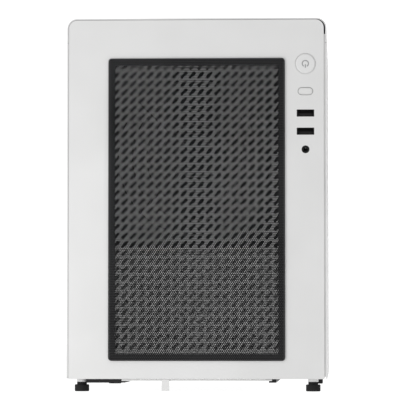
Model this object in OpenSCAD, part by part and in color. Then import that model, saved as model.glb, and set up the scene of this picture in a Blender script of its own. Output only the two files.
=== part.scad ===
// Compact desktop computer tower. Millimetres, +Z up, the front faces -Y and
// +X is on the right seen from the front. The origin is on the floor, under
// the middle of the whole computer.

/* [Body] */
// Overall width of the body
body_w = 215; // [215:1:290]
// Height of the body above its feet
body_h = 298.2; // [298:0.1:380]
// Depth of the body from its front sheet to its rear sheet
body_d = 378; // [376:1:460]
// Thickness of the top cover and of the two side panels
skin_t = 1.2; // [1:0.1:1.6]
// Thickness of the chassis sheets
sheet_t = 1; // [0.8:0.1:1.3]
// Outer radius of the two long top corners
corner_r = 8.5; // [5:0.5:12]
// Height of the top cover, down to the lower edge of its skirts
skirt_h = 20.5; // [16:0.5:26]
// Gap between the front sheet and the left and top rims
front_gap = 0.35; // [0.3:0.05:0.5]
// Extra gap between the front sheet and the right rim
front_gap_extra = 0.9; // [0:0.1:1.2]
// Gap between a skin panel and what it closes on
panel_gap = 0.4; // [0.3:0.05:0.6]
// Depth of the flanges behind the front and rear sheets
flange_d = 12; // [8:1:16]

/* [Perforation] */
// Columns of slots in the front sheet
slot_cols = 20; // [10:1:22]
// Rows of slots in the front sheet
slot_rows = 34; // [20:1:38]
// Distance between the front sheet's slots
slot_pitch = 7; // [6.6:0.05:7.4]
// Length of a slot
slot_l = 7.3; // [6:0.1:8.2]
// Width of a slot
slot_w = 2.6; // [1.6:0.1:2.8]
// Lean of the slots from level
slot_angle = 45; // [40:1:55]
// Height of the slot field's middle above the filter's middle
slot_rise = 2.7; // [0:0.1:4]
// Distance between slots in the top, side and bottom sheets
vent_pitch = 10; // [9.5:0.5:14]

/* [Front filter] */
// Width of the magnetic front filter
filter_w = 146; // [140:1:152]
// Height of the magnetic front filter
filter_h = 249.8; // [200:0.1:255]
// Height of the filter's lower edge above the body's lower edge
filter_lift = 14.9; // [10:0.1:20]
// Width of the filter's magnetic border
filter_border = 5.6; // [4:0.1:9]
// Thickness of the magnetic border
filter_frame_t = 1.2; // [0.8:0.1:2]
// Thickness of the filter net
net_t = 0.3; // [0.2:0.05:0.5]

/* [Front controls] */
// Distance of the control column from the body's middle
control_x = 89.9; // [86:0.1:92]
// Height of the power button above the body's lower edge
button_lift = 260; // [250:0.1:264]
// Diameter of the power button
button_d = 15.8; // [12:0.1:18]
// Diameter of the power button's hole
button_hole_d = 17.2; // [14:0.1:19]
// Travel of the power button
button_travel = 1.5; // [0.8:0.1:2]
// Height of the USB-C opening above the body's lower edge
usb_c_lift = 237.2; // [230:0.1:240]
// Height of the upper USB-A opening above the body's lower edge
usb_a_lift = 219.1; // [215:0.1:222]
// Distance between the two USB-A openings and the audio jack
port_pitch = 15; // [12:0.1:16]
// Width and height of a USB-A opening
usb_a_hole = [14.4, 5.9]; // [5:0.1:15]
// Width and height of the USB-C opening
usb_c_hole = [12.6, 6.5]; // [6:0.1:13]
// Diameter of the audio jack's opening
jack_hole_d = 6.5; // [6:0.1:8]

/* [Feet] */
// Height of a foot, with the boss that it sits under
foot_h = 10.3; // [8:0.1:16]
// Diameter of a foot's rubber pad
foot_d = 12; // [10:0.5:20]
// Distance of the feet from the body's middle
foot_x = 95.8; // [90:0.1:98]
// Distance of the feet from the front and rear sheets
foot_inset = 14; // [12:1:30]

/* [Inside] */
// Distance of the board tray from the right side panel
tray_space = 17.3; // [14:0.1:24]
// Side of the square main board
board_s = 244; // [226:1:244]
// Height of the board's standoffs
standoff_h = 6.5; // [5:0.5:8]
// Thickness of the circuit boards
pcb_t = 1.6; // [1.2:0.1:2]
// Height of the board's lower edge above the bottom sheet
board_lift = 11; // [8:0.5:20]
// Side of the rear and cooler fans
fan_s = 120; // [92:1:120]
// Thickness of a fan frame
fan_t = 25; // [15:1:27]
// Power supply's width, depth and height
psu_size = [140, 86, 150]; // [80:1:150]
// Gap between the front sheet's flange and the power supply
psu_gap = 3; // [2:0.5:10]
// Height of the power supply above the bottom sheet
psu_lift = 107; // [100:1:120]
// Length of the graphics card
card_l = 226; // [170:1:230]
// Height of the graphics card's board
card_h = 111; // [100:1:118]

/* [Hidden] */
$fn = 48;

steel_white = "whitesmoke";
plastic_black = "#202022";
pcb_black = "#1c2420";
metal = "silver";

// Body planes
screw_head = 6;
filter_t = filter_frame_t + net_t;
x_half = body_w / 2;
y_front = filter_t - (filter_t + body_d + screw_head) / 2;
y_rear = y_front + body_d;
z_base = foot_h;
z_top = z_base + body_h;
z_skirt = z_top - skirt_h;
x_left_in = -x_half + skin_t + front_gap;
x_right_in = x_half - skin_t - front_gap - front_gap_extra;
z_front_top = z_top - skin_t - front_gap;
front_r = corner_r - skin_t - front_gap;
x_rear_in = x_half - skin_t - panel_gap;
z_rear_top = z_top - skin_t - panel_gap;
z_floor = z_base + sheet_t;
wall_gap = 0.2;

// Rounded and slotted shapes
module rounded_box_2d(w, h, r) {
  square([w - 2 * r, h], center = true);
  square([w, h - 2 * r], center = true);
  for (x = [-1, 1]) for (y = [-1, 1]) translate([x * (w / 2 - r), y * (h / 2 - r)]) circle(r = r);
}

// A shape with a flat foot at y = 0 and two rounded top corners
module arch_2d(w, h, r) {
  translate([-w / 2, 0]) square([w, h - r]);
  translate([-w / 2 + r, 0]) square([w - 2 * r, h]);
  for (x = [-1, 1]) translate([x * (w / 2 - r), h - r]) circle(r = r);
}

module slot_2d(l, w) {
  square([l - w, w], center = true);
  for (x = [-1, 1]) translate([x * (l - w) / 2, 0]) circle(d = w, $fn = 24);
}

module slot_field_2d(cols, rows, pitch, l, w, angle) {
  for (i = [0 : cols - 1]) for (j = [0 : rows - 1])
    translate([(i - (cols - 1) / 2) * pitch, (j - (rows - 1) / 2) * pitch]) rotate(angle) slot_2d(l, w);
}

module pill_2d(w, h) {
  square([w - h, h], center = true);
  for (x = [-1, 1]) translate([x * (w - h) / 2, 0]) circle(d = h);
}

// Stands a flat shape up in the X-Z plane, with its depth running along +Y from y
module upright(y, depth) {
  translate([0, y + depth, 0]) rotate([90, 0, 0]) linear_extrude(depth) children();
}

// Turns a flat shape so that its own X runs along +Y and its own Y along +Z, from x to x + depth
module sideways(x, depth) {
  translate([x, 0, 0]) rotate([90, 0, 90]) linear_extrude(depth) children();
}

// A box from one corner to the other
module block(low, high) {
  translate(low) cube(high - low);
}

// Heights of the foot's stem and of its boss on the bottom panel, and the stem's width
boss_h = 2.4;
foot_neck_h = 2.2;
foot_neck_d = 8.2;

// ---- Case ----

module control_holes_2d() {
  translate([control_x, z_base + button_lift]) circle(d = button_hole_d);
  translate([control_x, z_base + usb_c_lift]) pill_2d(usb_c_hole[0], usb_c_hole[1]);
  for (i = [0, 1]) translate([control_x, z_base + usb_a_lift - i * port_pitch])
    square(usb_a_hole, center = true);
  translate([control_x, z_base + usb_a_lift - 2 * port_pitch]) circle(d = jack_hole_d);
}

front_w = x_right_in - x_left_in;
front_cx = (x_right_in + x_left_in) / 2;
front_h = z_front_top - z_base;
filter_cz = z_base + filter_lift + filter_h / 2;

module front_outline_2d(inset) {
  translate([front_cx, z_base]) arch_2d(front_w - 2 * inset, front_h - inset, front_r - inset);
}

// Perforated front sheet with side and top flanges, open at the bottom
module front_panel() {
  color(steel_white) union() {
    upright(y_front, sheet_t) difference() {
      front_outline_2d(0);
      translate([0, filter_cz + slot_rise])
        slot_field_2d(slot_cols, slot_rows, slot_pitch, slot_l, slot_w, slot_angle);
      control_holes_2d();
    }
    upright(y_front + sheet_t, flange_d - sheet_t) difference() {
      front_outline_2d(0);
      translate([0, -sheet_t]) front_outline_2d(sheet_t);
      translate([-x_half, z_base - 2 * sheet_t]) square([body_w, 3 * sheet_t]);
    }
  }
}

top_vent_cols = 14;
top_vent_rows = 26;
flat_top_w = body_w - 2 * corner_r;

// Lift-off cover with a slotted top and two rounded skirts
module top_cover() {
  color(steel_white) union() {
    translate([0, (y_front + y_rear) / 2, z_top - skin_t]) linear_extrude(skin_t) difference() {
      square([flat_top_w, body_d], center = true);
      slot_field_2d(top_vent_cols, top_vent_rows, vent_pitch, slot_l * 1.2, slot_w * 1.1, slot_angle);
    }
    upright(y_front, body_d) difference() {
      translate([0, z_skirt]) arch_2d(body_w, skirt_h, corner_r);
      translate([0, z_skirt - skin_t]) arch_2d(body_w - 2 * skin_t, skirt_h, corner_r - skin_t);
      translate([-flat_top_w / 2, z_skirt]) square([flat_top_w, 2 * skirt_h]);
    }
  }
}

side_z0 = z_base + 0.3;
side_z1 = z_skirt - panel_gap;
side_vent_rows = 13;

module side_panel(x, cols, vent_y, vent_z) {
  color(steel_white) sideways(x, skin_t) difference() {
    translate([y_front, side_z0]) square([body_d, side_z1 - side_z0]);
    translate([vent_y, vent_z])
      slot_field_2d(cols, side_vent_rows, vent_pitch, slot_l * 1.2, slot_w * 1.1, slot_angle);
  }
}

module left_side_panel() side_panel(-x_half, 26, y_rear - 150, z_base + 200);
module right_side_panel() side_panel(x_half - skin_t, 12, y_front + 75, z_base + 200);

bottom_vent_cols = 11;
bottom_vent_rows = 20;
bottom_x = x_half - skin_t - panel_gap - 1;
filter_bottom_d = 236;

// Bottom sheet with upturned side flanges, slots and four bosses for the feet
module bottom_panel() {
  y0 = y_front + sheet_t;
  y1 = y_rear - sheet_t;
  color(steel_white) union() {
    translate([0, 0, z_base]) linear_extrude(sheet_t) difference() {
      translate([-bottom_x, y0]) square([2 * bottom_x, y1 - y0]);
      translate([0, y0 + 20 + bottom_vent_rows * vent_pitch / 2])
        slot_field_2d(bottom_vent_cols, bottom_vent_rows, vent_pitch, slot_l * 1.2, slot_w * 1.1, slot_angle);
    }
    for (s = [-1, 1]) block([s * bottom_x - (s > 0 ? sheet_t : 0), y0 + flange_d + 2, z_base],
      [s * bottom_x + (s < 0 ? sheet_t : 0), y1 - flange_d - 2, z_base + 12]);
    for (x = [-foot_x, foot_x]) for (y = [y_front + foot_inset, y_rear - foot_inset])
      translate([x, y, z_base - boss_h]) cylinder(d = 8.6, h = boss_h);
  }
}

// Positions on the rear sheet, all taken from the board
tray_x = x_half - skin_t - tray_space;
pcb_back = tray_x - standoff_h;
pcb_x = pcb_back - pcb_t;
board_z0 = z_floor + board_lift;
board_z1 = board_z0 + board_s;
board_y1 = y_rear - sheet_t - 2.5;
board_y0 = board_y1 - board_s;
io_size = [44.45, 158.75];
io_x0 = pcb_x + 2.6 - io_size[0];
io_z0 = board_z1 - 4 - io_size[1];
card_slots = 4;
card_pitch = 20.32;
card_z = io_z0 - 12;
slot_open = [103, 13];
slot_x0 = pcb_x - 1 - slot_open[0];
bracket_x0 = slot_x0 - 12;
slot_screw_x = slot_x0 - 6;
fan_x = io_x0 - 14 - fan_s / 2;
fan_z = card_z + 34 + fan_s / 2;
fan_bore_d = fan_s - 6;
fan_hole_pitch = 105;
inlet_x = bracket_x0 - 42;
inlet_z = z_base + 42;
inlet_hole = [28, 20.5];

// Rear sheet with the port, card, fan and mains openings
module rear_panel() {
  rings = 5;
  color(steel_white) union() {
    upright(y_rear - sheet_t, sheet_t) difference() {
      translate([0, z_base]) arch_2d(2 * x_rear_in, z_rear_top - z_base, corner_r - skin_t - panel_gap);
      translate([io_x0, io_z0]) square(io_size);
      for (i = [0 : card_slots - 1]) {
        translate([slot_x0, card_z - i * card_pitch - slot_open[1] / 2]) square(slot_open);
        translate([slot_screw_x, card_z - i * card_pitch]) circle(d = 3.6);
      }
      translate([fan_x, fan_z]) {
        for (i = [1 : rings]) for (k = [0 : 3]) intersection() {
          difference() {
            circle(r = fan_bore_d / 2 * i / rings - 1.2);
            circle(r = fan_bore_d / 2 * (i - 1) / rings + 1.6);
          }
          rotate(k * 90) translate([2.2, 2.2]) square(fan_s);
        }
        for (x = [-1, 1]) for (z = [-1, 1]) translate([x, z] * fan_hole_pitch / 2) circle(d = 4.4);
      }
      translate([inlet_x, inlet_z]) square(inlet_hole, center = true);
    }
    upright(y_rear - flange_d, flange_d - sheet_t) difference() {
      translate([0, z_base]) arch_2d(2 * x_rear_in, z_rear_top - z_base, corner_r - skin_t - panel_gap);
      translate([0, z_base - sheet_t]) arch_2d(2 * x_rear_in - 2 * sheet_t, z_rear_top - z_base,
        corner_r - skin_t - panel_gap - sheet_t);
      translate([-x_half, z_base - 2 * sheet_t]) square([body_w, 3 * sheet_t]);
    }
  }
}

rail_w = 14;
rail_z = z_front_top - sheet_t - 14;

// Two folded rails under the top cover that tie the front to the rear
module top_rails() {
  y0 = y_front + sheet_t;
  y1 = y_rear - sheet_t;
  color(steel_white) for (s = [-1, 1]) upright(y0, y1 - y0)
    translate([s * (x_rear_in - 6 - rail_w / 2), rail_z]) difference() {
      translate([-rail_w / 2, 0]) square([rail_w, 12]);
      translate([-rail_w / 2 + (s > 0 ? sheet_t : -sheet_t), sheet_t]) square([rail_w, 12]);
    }
}

tray_y0 = board_y0 - 30;

// Sheet that carries the main board, with windows behind the processor and for cables
module motherboard_tray() {
  color(steel_white) sideways(tray_x, sheet_t) difference() {
    translate([tray_y0, z_floor]) square([y_rear - sheet_t - tray_y0, rail_z - z_floor]);
    translate([cpu_y, cpu_z]) rounded_box_2d(110, 100, 8);
    for (z = [0.2, 0.5, 0.78]) translate([board_y0 - 16, board_z0 + z * board_s]) rounded_box_2d(18, 46, 6);
    for (p = standoff_points) translate(p) circle(d = 3.2);
  }
}

module foot(x, y) {
  pad_h = foot_h - boss_h - foot_neck_h;
  color(plastic_black) translate([x, y, 0]) {
    rotate_extrude() polygon(concat([[0, 0], [foot_d / 2 - 0.8, 0]],
      [for (a = [0 : 15 : 90]) [foot_d / 2 - 0.8 + 0.8 * sin(a), 0.8 - 0.8 * cos(a)]],
      [for (a = [0 : 15 : 90]) [foot_d / 2 - 0.8 + 0.8 * cos(a), pad_h - 0.8 + 0.8 * sin(a)]],
      [[foot_neck_d / 2, pad_h], [foot_neck_d / 2, pad_h + foot_neck_h], [0, pad_h + foot_neck_h]]));
  }
}

module foot_front_left() foot(-foot_x, y_front + foot_inset);
module foot_front_right() foot(foot_x, y_front + foot_inset);
module foot_rear_left() foot(-foot_x, y_rear - foot_inset);
module foot_rear_right() foot(foot_x, y_rear - foot_inset);

cover_size = [slot_open[0] + 17, 18.4];

// A card bracket's flat plate, on the inner face of the rear sheet
module bracket_plate(row) {
  upright(y_rear - sheet_t - 0.9, 0.9) difference() {
    translate([bracket_x0, card_z - row * card_pitch - cover_size[1] / 2]) square(cover_size);
    translate([slot_screw_x, card_z - row * card_pitch]) circle(d = 3.4);
  }
}

module slot_covers() {
  color(steel_white) for (row = [2, 3]) bracket_plate(row);
}

// A screw's thread ends short of the graphics card's board
screw_stem = 1.8;

module thumbscrews() {
  color(metal) for (row = [0 : card_slots - 1])
    translate([slot_screw_x, y_rear, card_z - row * card_pitch]) rotate([-90, 0, 0]) difference() {
      union() {
        cylinder(d = 9, h = screw_head);
        translate([0, 0, -screw_stem]) cylinder(d = 3.1, h = screw_stem);
      }
      translate([-0.6, -5, screw_head - 1.2]) cube([1.2, 10, 2]);
    }
}

// ---- Filters ----

module filter_outline_2d(inset) {
  translate([0, filter_cz]) rounded_box_2d(filter_w - 2 * inset, filter_h - 2 * inset, 2.8 - inset / 4);
}

module front_filter_frame() {
  color(plastic_black) upright(y_front - filter_frame_t, filter_frame_t) difference() {
    filter_outline_2d(0);
    filter_outline_2d(filter_border);
  }
}

// The net lies over the whole border
module front_filter_net() {
  color("#3a3a3c") upright(y_front - filter_t, net_t) filter_outline_2d(0);
}

tray_filter_w = 124;
tray_filter_t = 1.3;
tray_filter_y0 = y_front + 2;
tray_filter_z1 = z_base - 0.3;
tray_border = 6;
tab_x = -25.7;
tab_w = 6.2;

// Slide-out tray under the body, with its pull tab in front
module bottom_filter_frame() {
  color("gainsboro") union() {
    translate([0, tray_filter_y0 + filter_bottom_d / 2, tray_filter_z1 - tray_filter_t])
      linear_extrude(tray_filter_t) difference() {
        square([tray_filter_w, filter_bottom_d], center = true);
        for (y = [-1, 1]) translate([0, y * (filter_bottom_d - tray_border) / 4])
          square([tray_filter_w - 2 * tray_border, (filter_bottom_d - 3 * tray_border) / 2], center = true);
      }
    translate([tab_x - tab_w / 2, tray_filter_y0, 0]) rotate([90, 0, 90]) linear_extrude(tab_w)
      polygon([[0, tray_filter_z1], [-1.6, tray_filter_z1], [-1.6, 0.4], [-0.4, 0.4], [0, 1.6]]);
  }
}

module bottom_filter_net() {
  color("#3a3a3c") for (y = [-1, 1])
    translate([0, tray_filter_y0 + filter_bottom_d / 2 + y * (filter_bottom_d - tray_border) / 4,
      tray_filter_z1 - tray_filter_t / 2])
      cube([tray_filter_w - 2 * tray_border, (filter_bottom_d - 3 * tray_border) / 2, net_t], center = true);
}

rail_gap = 0.4;

// Two guide rails that hold the tray's edges, the left one with a wide front stop
module bottom_filter_rails() {
  x_in = tray_filter_w / 2 + rail_gap;
  z_lip = tray_filter_z1 - tray_filter_t - rail_gap;
  color(plastic_black) for (s = [-1, 1]) union() {
    block([s > 0 ? x_in : -x_in - 3, tray_filter_y0, z_lip - 1],
      [s > 0 ? x_in + 3 : -x_in, tray_filter_y0 + filter_bottom_d + 3, z_base]);
    block([s > 0 ? x_in - 3 : -x_in - 1, tray_filter_y0, z_lip - 1],
      [s > 0 ? x_in + 1 : -x_in + 3, tray_filter_y0 + filter_bottom_d + 3, z_lip]);
    if (s < 0) block([-x_in - 29, tray_filter_y0, z_base - 3.1], [-x_in - 2, tray_filter_y0 + 16, z_base]);
  }
}

// ---- Front controls ----

button_z = z_base + button_lift;
usb_c_z = z_base + usb_c_lift;
usb_a_z = z_base + usb_a_lift;
jack_z = usb_a_z - 2 * port_pitch;
port_y = y_front + sheet_t + 0.4;
io_pcb_y = port_y + 10;
button_skirt_d = button_hole_d + 3;

// Places a shape that was drawn around +Z so that it points out of the front
module facing_front(x, y, z) {
  translate([x, y, z]) rotate([90, 0, 0]) children();
}

// Round push button with an engraved arc and bar
module power_button() {
  face = 0.5;
  edge = 0.8;
  stem_l = 4.6;
  color(steel_white) facing_front(control_x, y_front, button_z) difference() {
    union() {
      rotate_extrude() polygon(concat([[0, -6]], [[button_d / 2, -6]],
        [for (a = [0 : 15 : 90]) [button_d / 2 - edge + edge * cos(a), face - edge + edge * sin(a)]],
        [[0, face]]));
      translate([0, 0, -6]) cylinder(d = button_skirt_d, h = 1.6);
      translate([0, 0, -6 - stem_l]) cylinder(d = 4, h = stem_l + 1);
    }
    translate([0, 0, face - 0.35]) linear_extrude(1) {
      difference() {
        circle(r = 3);
        circle(r = 2.1);
        polygon([[0, 0], [-3.4, -6], [3.4, -6]]);
      }
      translate([-0.45, -3.4]) square([0.9, 2.8]);
    }
  }
}

switch_y = y_front + 6 + 4.6 + button_travel + 0.4;

// Distance from the port board's front face to the bracket's sheet
bracket_step = pcb_t + 4;

module power_switch() {
  color(plastic_black) block([control_x - 3.5, switch_y, button_z - 3.5],
    [control_x + 3.5, io_pcb_y + bracket_step, button_z + 3.5]);
}

io_pcb_w = 21;
io_pcb_x0 = control_x - 10.9;

// Circuit board behind the ports
module front_io_board() {
  color("#1d4d2f") upright(io_pcb_y, pcb_t) translate([io_pcb_x0, jack_z - 12])
    square([io_pcb_w, usb_c_z - jack_z + 20]);
}

// White steel bracket that carries the button switch and the port board
module front_io_bracket() {
  x0 = io_pcb_x0 - 1.5;
  x1 = x_right_in - sheet_t - wall_gap;
  y1 = io_pcb_y + bracket_step;
  color(steel_white) union() {
    upright(y1, sheet_t) difference() {
      translate([x0, jack_z - 16]) square([x1 - x0, button_z - jack_z + 28]);
      translate([control_x, jack_z + 22]) square([12, 40], center = true);
    }
    for (z = [jack_z - 9, usb_c_z + 5]) facing_front(io_pcb_x0 + io_pcb_w - 3, y1, z)
      cylinder(d = 5, h = y1 - io_pcb_y - pcb_t);
    block([x1 - sheet_t, y_front + flange_d + wall_gap, jack_z - 16], [x1, y1 + sheet_t, button_z + 12]);
  }
}

// The two stacked USB-A sockets, each with its tongue low in the opening
module usb_a_ports() {
  shell_w = usb_a_hole[0] + 1.6;
  shell_h = usb_a_hole[1] + 1.6;
  color("#141416") for (i = [0, 1]) translate([control_x, 0, usb_a_z - i * port_pitch]) {
    upright(port_y, io_pcb_y - port_y) difference() {
      square([shell_w, shell_h], center = true);
      square([12.6, 5.1], center = true);
    }
    upright(port_y + 1, io_pcb_y - port_y - 1) translate([0, -1.1]) square([11.2, 1.8], center = true);
    upright(io_pcb_y - 1, 1) square([shell_w, shell_h], center = true);
  }
}

module usb_c_port() {
  color(metal) translate([control_x, 0, usb_c_z]) {
    upright(port_y + 1.6, io_pcb_y - port_y - 1.6) difference() {
      pill_2d(9.2, 3.5);
      pill_2d(8.4, 2.7);
    }
    upright(io_pcb_y - 0.8, 0.8) pill_2d(9.2, 3.5);
  }
}

// White dust plug that fills the USB-C opening
module usb_c_plug() {
  flange_y = y_front + 0.25;
  color("white") translate([control_x, 0, usb_c_z]) {
    upright(flange_y, port_y + 1.2 - flange_y) pill_2d(usb_c_hole[0] - 0.7, usb_c_hole[1] - 0.7);
    upright(flange_y - 0.45, 0.6) pill_2d(10.3, 4.1);
    upright(port_y + 1.1, 6) pill_2d(7.7, 2);
  }
}

module audio_jack() {
  color("#141416") facing_front(control_x, io_pcb_y, jack_z) difference() {
    union() {
      translate([-4, -4, 0]) cube([8, 8, io_pcb_y - port_y - 1.2]);
      cylinder(d = 6, h = io_pcb_y - y_front - 0.2);
    }
    translate([0, 0, 1.2]) cylinder(d = 3.6, h = 20);
  }
}

// ---- Main board ----

cpu_y = board_y1 - 78;
cpu_z = board_z1 - 76;
hole_edge = 6.4;
standoff_points = [for (y = [board_y0 + hole_edge, board_y0 + 69, board_y1 - 24])
  for (z = [board_z0 + 14, board_z0 + 130, board_z1 - 8]) [y, z]];

// A box standing on the board's face, from the edge distances along y and z
module on_board(y0, z0, ly, lz, h) {
  block([pcb_x - h, y0, z0], [pcb_x, y0 + ly, z0 + lz]);
}

module motherboard() {
  color(pcb_black) sideways(pcb_x, pcb_t) difference() {
    translate([board_y0, board_z0]) square([board_s, board_s]);
    for (p = standoff_points) translate(p) circle(d = 4);
  }
}

module motherboard_standoffs() {
  color("goldenrod") for (p = standoff_points) translate([0, p[0], p[1]]) rotate([0, 90, 0]) {
    translate([0, 0, pcb_back]) cylinder(d = 5.6, h = standoff_h, $fn = 6);
    translate([0, 0, pcb_x - 1.6]) cylinder(d = 3, h = pcb_t + 1.7);
    translate([0, 0, pcb_x - 2]) cylinder(d = 5.6, h = 2);
  }
}

shield_margin = 1.5;

// Port plate, filling the rear opening, with its port cutouts
module io_shield() {
  color(metal) upright(y_rear - sheet_t - 0.6, 0.6) difference() {
    translate([io_x0 - shield_margin, io_z0 - shield_margin]) square(io_size + [2, 2] * shield_margin);
    for (p = rear_ports) translate([pcb_x - p[2] / 2, io_z0 + p[0]])
      square([p[2] + 0.5, p[1] + 0.5], center = true);
    for (z = [11, 24]) translate([pcb_x - 9, io_z0 + z]) circle(d = 8.6);
  }
}

// Middle along the plate, length along the plate and height off the board
rear_ports = [[45, 13.2, 32], [66, 13.2, 15.6], [88, 18.8, 7.4],
  [110, 13.2, 15.6], [130, 16, 13.6], [148, 13.2, 15.6]];

// Port blocks at the board's rear edge
module rear_io_ports() {
  y1 = y_rear - sheet_t + 0.8;
  color("#3c3d40") {
    for (p = rear_ports) difference() {
      block([pcb_x - p[2], board_y1 - 16, io_z0 + p[0] - p[1] / 2], [pcb_x, y1, io_z0 + p[0] + p[1] / 2]);
      block([pcb_x - p[2] + 1.2, y1 - 9, io_z0 + p[0] - p[1] / 2 + 1.2],
        [pcb_x - 1.2, y1 + 1, io_z0 + p[0] + p[1] / 2 - 1.2]);
    }
    for (z = [11, 24]) translate([pcb_x - 9, y1, io_z0 + z]) rotate([90, 0, 0]) difference() {
      union() {
        cylinder(d = 8, h = 5);
        translate([-5, -5.5, 5]) cube([14, 11, 12]);
      }
      translate([0, 0, -1]) cylinder(d = 3.6, h = 12);
    }
  }
}

socket_s = 50;
cpu_h = 8;

module cpu_socket() {
  color(metal) union() {
    on_board(cpu_y - socket_s / 2, cpu_z - socket_s / 2 - 6, socket_s, socket_s + 12, 4);
    on_board(cpu_y - 19, cpu_z - 19, 38, 38, cpu_h);
  }
}

ram_y = cpu_y - 62;
ram_step = 9.6;
ram_z0 = board_z1 - 8 - 140;

module ram_slots() {
  color("#2c2c2f") for (i = [0 : 3]) let (y = ram_y - i * ram_step) difference() {
    on_board(y, ram_z0, 6.4, 140, 8);
    block([pcb_x - 9, y + 2.4, ram_z0 + 2.5], [pcb_x - 5, y + 4, ram_z0 + 137.5]);
  }
}

// Two memory modules with heat spreaders
module ram_modules() {
  color("#46484c") for (i = [1, 3]) {
    y = ram_y - i * ram_step;
    block([pcb_x - 33, y + 2.5, ram_z0 + 3.4], [pcb_x - 5.1, y + 3.9, ram_z0 + 136.6]);
    block([pcb_x - 36, y + 0.4, ram_z0 + 3.4], [pcb_x - 10, y + 6, ram_z0 + 136.6]);
  }
}

slot_h = 11;
slot_edge = board_y1 - 47;
socket_h = 13;
atx_socket_z = board_z0 + 165;
eps_y = board_y1 - 50;

// Card slots, and the power, storage, fan and header sockets
module board_sockets() {
  color("#232326") {
    for (s = [[0, 89], [2, 39], [3, 89]]) difference() {
      on_board(slot_edge - s[1], card_z - s[0] * card_pitch - 3.7, s[1], 7.4, slot_h);
      block([pcb_x - slot_h - 1, slot_edge - s[1] + 1, card_z - s[0] * card_pitch - 0.9],
        [pcb_x - 4, slot_edge - 1, card_z - s[0] * card_pitch + 0.9]);
    }
    on_board(board_y0 + 2, atx_socket_z - 26, 10, 52, socket_h);
    on_board(eps_y - 10, board_z1 - 14, 20, 10, socket_h);
    for (z = [60, 78]) on_board(board_y0 + 1, board_z0 + z, 14, 15, 9);
    for (y = [20, 50, 84]) on_board(board_y0 + y, board_z0 + 2, 22, 6, 9);
    on_board(cpu_y - 46, board_z1 - 7, 10, 6, 9);
  }
}

// Finned block on the power stages above and behind the processor
module vrm_heatsink() {
  color("#c9ccd0") {
    difference() {
      on_board(board_y1 - 50, cpu_z - 38, 15, 84, 24);
      for (k = [0 : 7]) let (z = cpu_z - 33 + k * 10)
        block([pcb_x - 25, board_y1 - 51, z], [pcb_x - 8, board_y1 - 34, z + 4]);
    }
    difference() {
      on_board(cpu_y - 30, board_z1 - 28, 60, 13, 20);
      for (k = [0 : 4]) let (y = cpu_y - 25 + k * 11)
        block([pcb_x - 21, y, board_z1 - 29], [pcb_x - 8, y + 4, board_z1 - 14]);
    }
  }
}

module chipset_heatsink() {
  color("#8d9094") difference() {
    on_board(board_y0 + 22, board_z0 + 22, 46, 40, 8);
    for (k = [0 : 3]) let (y = board_y0 + 27 + k * 10)
      block([pcb_x - 9, y, board_z0 + 21], [pcb_x - 6, y + 4, board_z0 + 63]);
  }
}

module m2_ssd() {
  color("#16351f") {
    on_board(board_y0 + 78, card_z + 4.2, 80, 22, 3.6);
  }
}

// ---- Fans ----

strut_t = 3;

// Square fan frame around +Z, standing on z = 0, with a motor hub on four struts at z = 0
fan_pocket = 1.2;  // how deep each flank of a fan's frame is hollowed

module fan_frame(s, t) {
  bore = s - 5;
  hole = s == fan_s ? fan_hole_pitch : s - 14;
  hub = s * 0.34;
  difference() {
    linear_extrude(t) difference() {
      rounded_box_2d(s, s, 5);
      circle(d = bore, $fn = 96);
      for (x = [-1, 1]) for (y = [-1, 1]) translate([x, y] * hole / 2) circle(d = 4.4);
    }
    for (k = [0 : 3]) rotate(k * 90) translate([0, s / 2, t / 2])
      cube([s * 0.62, 2 * fan_pocket, t - 8], center = true);
  }
  linear_extrude(strut_t) {
    circle(d = hub);
    for (k = [0 : 3]) rotate(k * 90 + 20) translate([0, -1.7]) square([bore / 2 + 0.6, 3.4]);
  }
}

// Fan rotor around +Z: a hub and slanted blades
module fan_rotor(d, t, blades) {
  hub = d * 0.36;
  blade_l = (d - hub) / 2;
  intersection() {
    union() {
      cylinder(d = hub, h = t, $fn = 64);
      for (k = [0 : blades - 1]) rotate(k * 360 / blades) translate([0, 0, t / 2])
        translate([hub / 2 - 1.5, 0, 0]) rotate([38, 0, 0])
          translate([0, -blade_l * 0.3, -0.7]) cube([blade_l + 2, blade_l * 0.6, 1.4]);
    }
    translate([0, 0, 0.2]) cylinder(d = d, h = t - 0.4, $fn = 96);
  }
}

fan_clear = 1.6;
rotor_d = fan_s - 5 - 2 * fan_clear;
rear_fan_y = y_rear - sheet_t;

module rear_fan_frame() {
  color("#26272a") translate([fan_x, rear_fan_y, fan_z]) rotate([90, 0, 0]) fan_frame(fan_s, fan_t);
}

module rear_fan_rotor() {
  color("#3a3c40") translate([fan_x, rear_fan_y - strut_t - 1, fan_z]) rotate([90, 0, 0])
    fan_rotor(rotor_d, fan_t - strut_t - 3, 9);
}

// ---- Processor cooler ----

fin_x1 = pcb_x - 42;
fin_count = 34;
fin_pitch = 2.8;
fin_size = [46, 118];
fin_y0 = cpu_y - fin_size[0] / 2;
fin_z0 = cpu_z - fin_size[1] / 2;
pipe_ys = [-15, -5, 5, 15];

// Height at which heat pipe i runs through the fins, above or below the processor
function pipe_z(i, s) = cpu_z + s * (fin_size[1] / 2 - 16 - (i % 2) * 16);

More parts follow.
